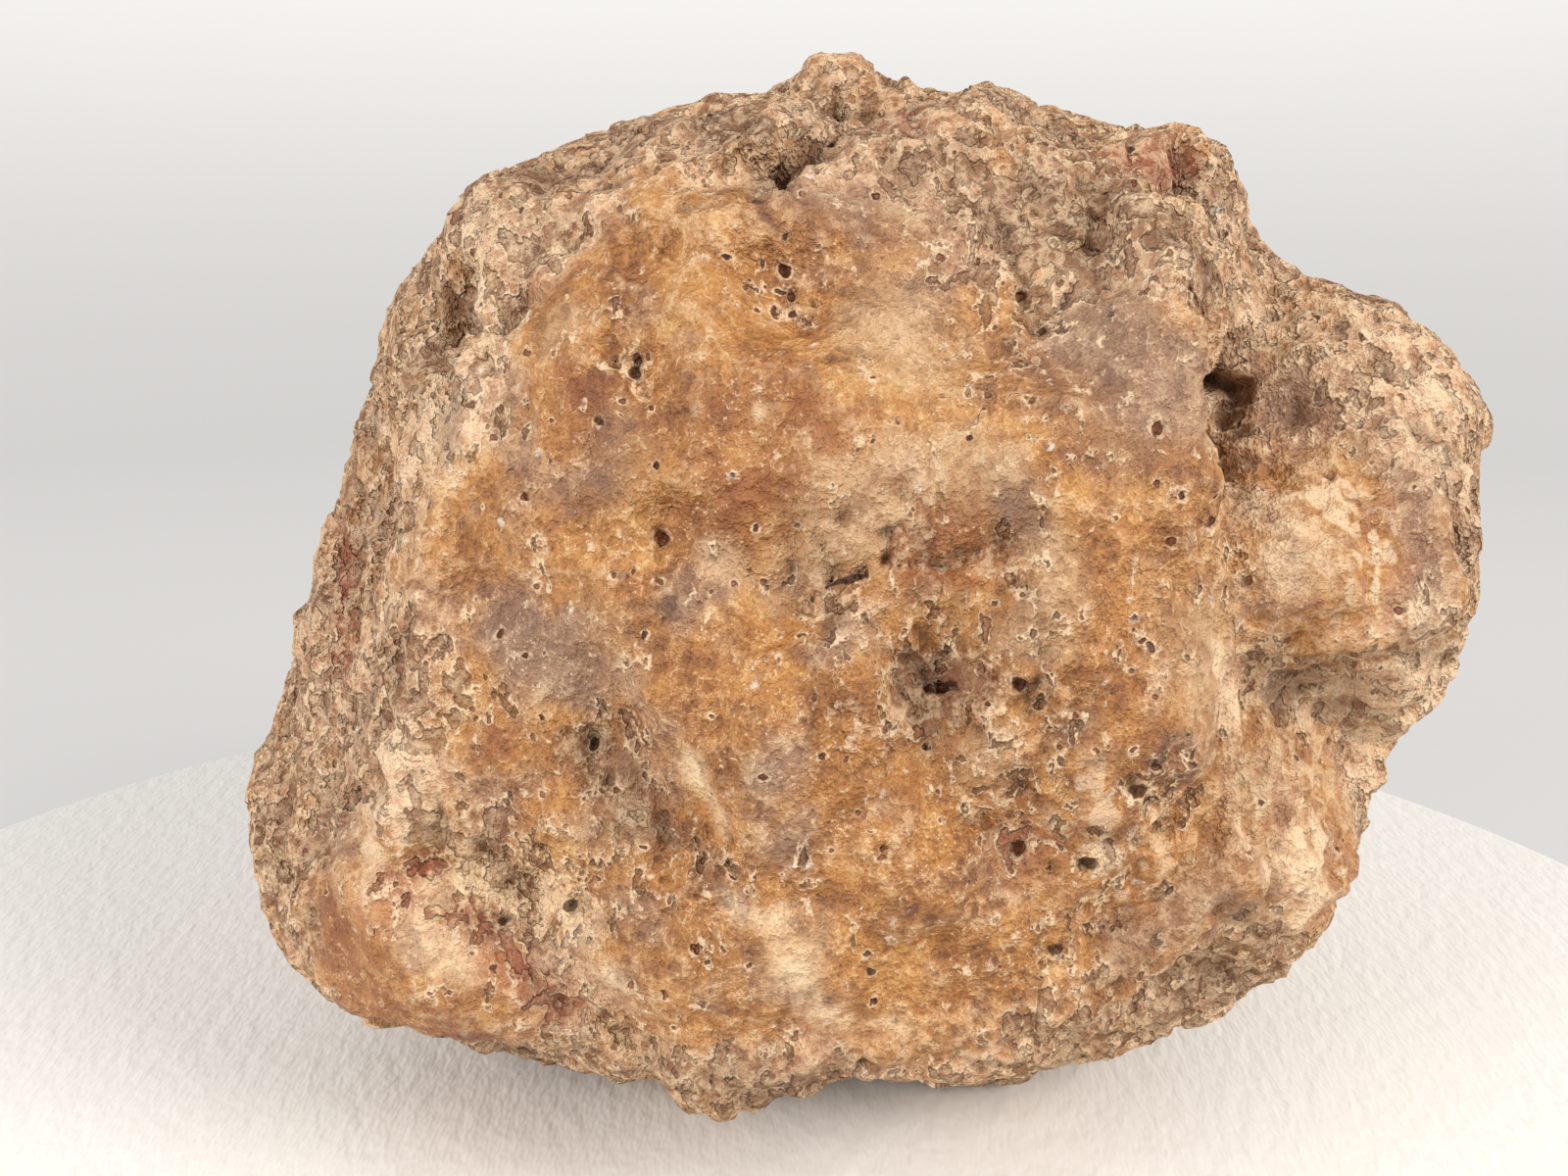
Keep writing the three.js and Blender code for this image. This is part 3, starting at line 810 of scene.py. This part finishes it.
# Steps across a cell with a tiny crater or a speck, and over the numbers that say which cells have one.
TINY_HOLE = (0.08, 0.17, 1, 0)
TINY_RING_EDGES = ((0.12, 0.2), (0.22, 0.36, 1, 0))
SPECK = (0.05, 0.3, 1, 0)
TINY_CRATER_CELLS = (0.9, 0.95)
SPECK_CELLS = (0.9, 1.0)

# How far each layer hides what is below it. Wisps hide it by a least share and a share that varies.
COVER = {
    "lilac": 0.55, "pores": 0.6, "floor": 0.85, "painted_shade": 0.62, "specks": 0.7, "holes": 0.85, "lines": 0.9,
}
VEIN_COVER = 0.7
FLOOR_RUST_COVER = 0.5
MILKY_WISPS = (0.2, 0.75)
WHITE_WISPS = (0.25, 0.75)

# The table's fine grain, and how strongly the sweep glows from a height of 0 to one of 400.
PEEL = (2.0, 2, 0.6)
BRUSHED = (1, 0.4, 1)
PEEL_HEIGHT = 0.35
TABLE_ROUGHNESS = 0.55
SWEEP_ROUGHNESS = 0.9
SWEEP_GLOWS = (0, 400, 0.44, 0.78)

# The colour sockets of a Mix node.
MIX_FIRST = 6
MIX_SECOND = 7
MIX_RESULT = 2


class Shader:
    """Short names for the nodes of one material. Lengths are in millimetres."""

    def __init__(self, name):
        self.material = bpy.data.materials.new(name)
        self.material.use_nodes = True
        self.tree = self.material.node_tree
        self.surface = self.tree.nodes["Principled BSDF"]
        place = self.tree.nodes.new("ShaderNodeTexCoord").outputs["Object"]
        self.place = self.vector("SCALE", place, METRE)

    def put(self, socket, value):
        """Links a socket to an output, or sets it to a plain value."""
        if isinstance(value, bpy.types.NodeSocket):
            self.tree.links.new(value, socket)
        else:
            socket.default_value = value

    def node(self, kind, inputs, **settings):
        """The outputs of a new node, whose inputs are linked or set."""
        made = self.tree.nodes.new(kind)
        for name, value in settings.items():
            setattr(made, name, value)
        for name, value in inputs.items():
            self.put(made.inputs[name], value)
        return made.outputs

    def finish(self, inputs):
        """The material, once the inputs of its surface are linked or set."""
        for name, value in inputs.items():
            self.put(self.surface.inputs[name], value)
        return self.material

    def vector(self, operation, first, second):
        inputs = {0: first, ("Scale" if operation == "SCALE" else 1): second}
        made = self.node("ShaderNodeVectorMath", inputs, operation=operation)
        return made["Value" if operation in ("DISTANCE", "DOT_PRODUCT") else "Vector"]

    def math(self, operation, first, second=0.0):
        return self.node("ShaderNodeMath", {0: first, 1: second}, operation=operation)[0]

    def times(self, first, second):
        return self.math("MULTIPLY", first, second)

    def larger(self, first, second):
        return self.math("MAXIMUM", first, second)

    def attribute(self, name):
        return self.node("ShaderNodeAttribute", {}, attribute_name=name)

    def mask(self, name):
        return self.attribute(name)["Fac"]

    def step(self, value, first, last, start=0.0, end=1.0):
        """A smooth step that gives start where value is first, and end where it is last."""
        inputs = dict(enumerate((value, first, last, start, end)))
        return self.node("ShaderNodeMapRange", inputs, interpolation_type="SMOOTHSTEP")[0]

    def distance_to_line(self, place, start, end):
        """Distance from the place to the straight line between two points."""
        offset = self.vector("SUBTRACT", place, start)
        course = (end - start).normalized()
        across = self.larger(self.vector("DOT_PRODUCT", offset, course), 0.0)
        along = self.math("MINIMUM", across, (end - start).length)
        return self.vector("DISTANCE", offset, self.vector("SCALE", course, along))

    def noise_node(self, place, wavelength, detail, rough):
        inputs = {"Vector": place, "Scale": 1 / wavelength, "Detail": detail, "Roughness": rough}
        return self.node("ShaderNodeTexNoise", inputs)

    def noise(self, place, wavelength, detail, rough):
        return self.noise_node(place, wavelength, detail, rough)["Fac"]

    def split(self, colour):
        return self.node("ShaderNodeSeparateColor", {0: colour})

    def noises(self, place, wavelength, detail, rough):
        """Three noises that have nothing to do with each other."""
        return self.split(self.noise_node(place, wavelength, detail, rough)["Color"])

    def shaken(self, place, wavelength, *reaches):
        """The place, moved this far by noise with lumps a wavelength across, once for each reach."""
        drift = self.noise_node(place, wavelength, 2.0, 0.5)["Color"]
        drift = self.vector("SUBTRACT", drift, (0.5, 0.5, 0.5))
        return [self.vector("ADD", place, self.vector("SCALE", drift, reach)) for reach in reaches]

    def cells(self, place, size):
        """Distance to the nearest of points scattered about a size apart, and three numbers for it."""
        made = self.node("ShaderNodeTexVoronoi", {"Vector": place, "Scale": 1 / size})
        return made["Distance"], self.split(made["Color"])

    def mix(self, factor, first, second):
        inputs = {"Factor": factor, MIX_FIRST: first, MIX_SECOND: second}
        return self.node("ShaderNodeMix", inputs, data_type="RGBA")[MIX_RESULT]

    def ramp(self, value, tones):
        """Evenly spaced tones along a value from 0 to 1."""
        made = self.tree.nodes.new("ShaderNodeValToRGB")
        stops = made.color_ramp.elements
        while len(stops) < len(tones):
            stops.new(1.0)
        for index, (stop, tone) in enumerate(zip(stops, tones)):
            stop.position = index / (len(tones) - 1)
            stop.color = linear(*tone)
        self.put(made.inputs["Fac"], value)
        return made.outputs["Color"]

    def total(self, start, *parts):
        """Start plus each value times its weight, where the parts are (value, weight)."""
        for value, weight in parts:
            start = self.math("ADD", start, self.times(value, weight))
        return start

    def bump(self, height):
        """Bump whose height is in millimetres."""
        return self.node("ShaderNodeBump", {"Distance": 1 / METRE, "Height": height})[0]


class StoneShader(Shader):
    """The stone's shader, which knows the masks of the mesh, its noises and its patterns by name."""

    def __init__(self):
        super().__init__("chalcedony")
        self.named = {name: self.mask(name) for name in MASKS}
        warped, swirled = self.shaken(self.place, *WIDE_DRIFT)
        self.ragged, self.bent = self.shaken(self.place, *FINE_DRIFT)
        self.named["broad"], self.named["hue"], self.named["patches"] = self.noises(warped, *BROAD)
        self.named["middle"] = self.noise(swirled, *MIDDLE)
        self.named["fine"] = self.noise(self.place, *FINE)
        self.named["grit"] = self.noise(self.place, *GRIT)
        self.named["patchy"] = self.stepped("fine", PATCHY)
        self.add_pores()
        self.add_grains()

    def __getitem__(self, name):
        return self.named[name]

    def stepped(self, name, step):
        return self.step(self[name], *step)

    def moved(self, value, weights):
        """The value plus each named mask or pattern times its weight."""
        return self.total(value, *[(self[name], weight) for name, weight in weights.items()])

    def tone(self, middle, weights):
        """Middle where each named noise is at its mean of 0.5, moved by each noise times its weight."""
        return self.moved(middle - sum(weights.values()) / 2, weights)

    def cover(self, name):
        """How far a named layer hides what is below it."""
        return self.times(self[name], COVER[name])

    def add_pores(self):
        """Pores with cream lips, which are close together in the crust and rare in the waxy stone."""
        porous = self.noise(self.vector("MULTIPLY", self.bent, UPRIGHT), *PORES)
        opened = self.moved(porous, PORE_SHIFT)
        self.named["pores"] = self.step(opened, *PORE_EDGE)
        self.named["lips"] = self.times(*[self.step(opened, *edge) for edge in LIP_EDGES])

    def add_grains(self):
        """Grains of the rough floors, some of which stand out as pale knobs."""
        away, numbers = self.cells(self.bent, GRAIN_SIZE)
        self.named["grain"] = numbers[1]
        self.named["knobs"] = self.times(self.step(away, *KNOB_EDGE), self.step(numbers[0], *KNOB_SHARE))


def tiny_craters(stone):
    """Holes darkened with painted shade and rims of craters too small for the mesh, in a share of the cells,
    and specks in others.
    """
    away, numbers = stone.cells(stone.ragged, TINY_CRATER_SIZE)
    there = stone.step(numbers[0], *TINY_CRATER_CELLS)
    speck = stone.times(stone.step(numbers[1], *SPECK_CELLS), stone.step(away, *SPECK))
    ring = stone.times(*[stone.step(away, *edge) for edge in TINY_RING_EDGES])
    return stone.times(there, stone.step(away, *TINY_HOLE)), stone.times(there, ring), speck


def placed_craters(stone, number):
    """Holes and rims of one layer of the craters that the mesh gives the centres of."""
    centre = stone.attribute(f"crater_centre_{number}")["Vector"]
    radius = stone.mask(f"crater_radius_{number}")
    away = stone.math("DIVIDE", stone.vector("DISTANCE", stone.ragged, centre), radius)
    hole = stone.times(stone.step(away, *HOLE), stone.step(radius, *HOLE_RADII))
    return hole, stone.times(*[stone.step(away, *edge) for edge in RING_EDGES])


def add_craters(stone):
    """The holes, rims and specks of all craters, tiny and placed."""
    holes, rings, stone.named["specks"] = tiny_craters(stone)
    for number in range(CRATER_LAYERS):
        hole, ring = placed_craters(stone, number)
        holes = stone.larger(holes, hole)
        rings = stone.larger(rings, ring)
    stone.named["holes"] = holes
    stone.named["rings"] = rings


def add_black_lines(stone, places):
    """1 along the black lines of painted shadow, whose ends and bends are points of the finished stone."""
    lines = 0.0
    for half_width, *path in BLACK_LINES:
        points = [Vector(point) for point in places.front(path)]
        for start, end in zip(points, points[1:]):
            away = stone.distance_to_line(stone.bent, start, end)
            lines = stone.larger(stone.step(away, half_width * 1.3, half_width * 0.7), lines)
    stone.named["lines"] = lines


def waxy_colour(stone):
    """Golden and rosy stone, with milky wisps, folds of partly painted highlight and shade, veins, crumbs and
    freckles.
    """
    tone = stone.moved(stone.tone(*WAXY_TONE), WAXY_SHIFT)
    golden = stone.ramp(tone, GOLDEN_TONES)
    rust = stone.times(stone["rust"], stone.stepped("middle", RUST_BLOTCHES))
    golden = stone.mix(rust, golden, RUST_RED)
    rosiness = stone.moved(stone["hue"], ROSY_SHIFT)
    waxy = stone.mix(stone.step(rosiness, *ROSY), golden, stone.ramp(tone, ROSY_TONES))
    waxy = stone.mix(stone.cover("lilac"), waxy, LILAC_GREY)
    wispy = stone.step(stone.moved(*WISPINESS), *WISPY)
    for name, (least, share), colour in (("milky", MILKY_WISPS, MILK), ("white", WHITE_WISPS, PATCH_WHITE)):
        waxy = stone.mix(stone.times(stone[name], stone.total(least, (wispy, share))), waxy, colour)
    # Folds in the pale areas: cream crests, partly painted highlight, and darker pink troughs, partly painted
    # shade.
    folds = stone.noise(stone.vector("MULTIPLY", stone.bent, DRAWN_OUT_FOLDS), *FOLDS)
    for step, colour in ((FOLD_CRESTS, CREAM), (FOLD_TROUGHS, FOLD_PINK)):
        waxy = stone.mix(stone.times(stone["pale_and_painted_light"], stone.step(folds, *step)), waxy, colour)
    off_vein = stone.math("ABSOLUTE", stone.math("SUBTRACT", stone["middle"], VEIN_LEVEL))
    veins = stone.times(stone.step(off_vein, *VEIN_EDGE), stone.times(stone["patchy"], VEIN_COVER))
    crumbs = stone.times(stone.stepped("grit", CRUMBS), stone.stepped("patches", CRUMB_PATCHES))
    freckles = stone.times(stone.stepped("grit", FRECKLES), stone.stepped("broad", FRECKLE_PATCHES))
    for factor, colour in ((veins, CREAM), (crumbs, CREAM), (freckles, RUST_RED)):
        waxy = stone.mix(factor, waxy, colour)
    return waxy


def skin_colour(stone):
    """The waxy stone and the crust, with salmon blotches and with their pores and lips."""
    waxy = waxy_colour(stone)
    crust = stone.ramp(stone.moved(stone.tone(*CRUST_TONE), CRUST_SHIFT), CRUST_TONES)
    crust = stone.mix(stone.stepped("hue", CRUST_LIKE_WAX), crust, waxy)
    colour = stone.mix(stone.step(stone.moved(*WAXINESS), *CRUST_EDGE), waxy, crust)
    salmon = stone.times(stone["salmon"], stone.stepped("middle", SALMON_BLOTCHES))
    colour = stone.mix(salmon, colour, SALMON_PINK)
    colour = stone.mix(stone.times(stone["lips"], stone["patchy"]), colour, CREAM)
    pore_colour = stone.mix(stone["salmon"], PORE_BROWN, SALMON_DEEP)
    return stone.mix(stone.cover("pores"), colour, pore_colour)


def floor_colour(stone, colour):
    """Lays the grainy floors over the colour, and the painted shade."""
    stone.named["floor"] = stone.step(stone.moved(*GRAININESS), *FLOOR_EDGE)
    floor = stone.ramp(stone.moved(stone.tone(*FLOOR_TONE), FLOOR_SHIFT), FLOOR_TONES)
    colour = stone.mix(stone.cover("floor"), colour, floor)
    rust = stone.times(stone.times(stone["rust"], stone["floor"]), FLOOR_RUST_COVER)
    colour = stone.mix(rust, colour, RUST_RED)
    # Painted shade over its areas.
    return stone.mix(stone.cover("painted_shade"), colour, PAINTED_SHADE)


def hole_colour(stone, colour):
    """Lays pale rims, partly painted highlight, then painted shade in hollows, specks, holes darkened with
    painted shade and black lines of painted shadow over the colour.
    """
    # Cream crater rims, and pale walls and ledge rims that are partly painted highlight.
    for name in ("rings", "rim"):
        colour = stone.mix(stone.times(stone[name], stone["patchy"]), colour, CREAM)
    # Painted shade in pits, hollows and slits: brown, and deep salmon in the salmon areas.
    hollow_shade_colour = stone.mix(stone["salmon"], HOLLOW_SHADE_BROWN, SALMON_DEEP)
    # Inside the holes: black painted shade, and rust in places.
    inside = stone.mix(stone.stepped("hue", RUSTY_HOLES), HOLE_SHADOW_BLACK, RUST_HOLE)
    colour = stone.mix(stone.stepped("painted_hollow_shade", HOLLOW_SHADE), colour, hollow_shade_colour)
    # Specks, then holes and black lines of painted shade.
    for name, top in (("specks", SUGAR_WHITE), ("holes", inside), ("lines", HOLE_SHADOW_BLACK)):
        colour = stone.mix(stone.cover(name), colour, top)
    return colour


def stone_material(places):
    """Waxy orange chalcedony and its crust, told apart by the masks of the mesh."""
    stone = StoneShader()
    add_craters(stone)
    add_black_lines(stone, places)
    height = stone.moved(stone.times(stone["fine"], stone.stepped("waxy", FINE_HEIGHT)), BUMPS)
    return stone.finish({
        "Base Color": hole_colour(stone, floor_colour(stone, skin_colour(stone))),
        "Roughness": stone.stepped("waxy", ROUGHNESS),
        "Specular IOR Level": stone.larger(stone.moved(*GLOSS), LEAST_GLOSS),
        "Normal": stone.bump(height),
    })


def table_material():
    """White paint with a faint brushed orange-peel grain."""
    shader = Shader("table_paint")
    peel = shader.noise(shader.vector("MULTIPLY", shader.place, BRUSHED), *PEEL)
    bump = shader.bump(shader.times(peel, PEEL_HEIGHT))
    return shader.finish({"Base Color": TABLE_WHITE, "Roughness": TABLE_ROUGHNESS, "Normal": bump})


def sweep_material():
    """Backdrop paper with a painted glow that stands in for light from behind, more so higher up."""
    shader = Shader("sweep_paper")
    height = shader.node("ShaderNodeSeparateXYZ", {0: shader.place})["Z"]
    return shader.finish({
        "Base Color": SWEEP_GREY,
        "Roughness": SWEEP_ROUGHNESS,
        "Emission Color": SWEEP_GLOW,
        "Emission Strength": shader.step(height, *SWEEP_GLOWS),
    })


# ======== stage
def turned(name, outline, centre, material):
    """A stage piece turned from an outline of (radius, height) points round an upright axis."""
    work = bmesh.new()
    rings = []
    for radius, height in outline:
        ring = []
        for k in range(RING_SIDES):
            turn = 2 * math.pi * k / RING_SIDES
            x = centre[0] + radius * math.cos(turn)
            y = centre[1] + radius * math.sin(turn)
            ring.append(work.verts.new((x / METRE, y / METRE, height / METRE)))
        rings.append(ring)
    work.faces.new(rings[0])
    for inner, outer in zip(rings, rings[1:]):
        for k in range(RING_SIDES):
            after = (k + 1) % RING_SIDES
            work.faces.new((inner[k], outer[k], outer[after], inner[after]))
    mesh = bpy.data.meshes.new(name)
    work.to_mesh(mesh)
    work.free()
    mesh.shade_smooth()
    mesh.polygons[0].use_smooth = False
    mesh.materials.append(material)
    piece = add_object(name, mesh)
    return piece


def arc(centre, radius, start, end, steps=10):
    """Points of a quarter round, its angles in degrees."""
    turns = [math.radians(start + (end - start) * k / steps) for k in range(steps + 1)]
    return [(centre[0] + radius * math.cos(t), centre[1] + radius * math.sin(t)) for t in turns]


def make_stage():
    """The white round table and the pale sweep that closes the view all round."""
    rim = TABLE_RADIUS - TABLE_EDGE
    top = arc((rim, -TABLE_EDGE), TABLE_EDGE, 90, 0)
    outline = [*top, (TABLE_RADIUS, -TABLE_THICKNESS)]
    turned("table", outline, TABLE_CENTRE, table_material())
    floor = -TABLE_THICKNESS
    bend = arc((SWEEP_FLOOR, floor + SWEEP_BEND), SWEEP_BEND, -90, 0, steps=16)
    wall = [*bend, (SWEEP_FLOOR + SWEEP_BEND, SWEEP_HEIGHT)]
    sweep = turned("sweep", wall, TABLE_CENTRE, sweep_material())
    sweep.visible_diffuse = False


def soft_light(name, place, size, watts, colour):
    """A square soft box at a place, aimed at the stone."""
    lamp = bpy.data.lights.new(name, "AREA")
    lamp.size = size / METRE
    lamp.energy = watts
    lamp.color = colour
    box = add_object(name, lamp)
    box.location = Vector(place) / METRE
    box.rotation_euler = (Vector(LIT_POINT) - Vector(place)).to_track_quat("-Z", "Y").to_euler()


def make_lights():
    """A key from the right and above, a broad fill from the left, a faint top light and a glowing room."""
    for name, light in LIGHTS.items():
        soft_light(name, *light)
    world = bpy.data.worlds.new("room")
    world.use_nodes = True
    world.node_tree.nodes["Background"].inputs["Color"].default_value = (1, 1, 1, 1)
    world.node_tree.nodes["Background"].inputs["Strength"].default_value = ROOM_GLOW
    bpy.context.scene.world = world


def make_camera():
    """The camera of the photograph."""
    camera = bpy.data.cameras.new("camera")
    camera.sensor_width = SENSOR_WIDTH
    camera.lens = SENSOR_WIDTH * FOCAL_PIXELS / PHOTO_WIDTH
    camera.clip_start = NEAREST_SEEN / METRE
    holder = add_object("camera", camera)
    holder.location = CAMERA_PLACE / METRE
    holder.rotation_euler = (math.pi / 2 - CAMERA_PITCH, 0, 0)
    bpy.context.scene.camera = holder


make_camera()
make_stone(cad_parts["geode"])
make_stage()
make_lights()
bpy.context.scene.view_settings.view_transform = "Standard"
bpy.context.scene.cycles.diffuse_bounces = 2
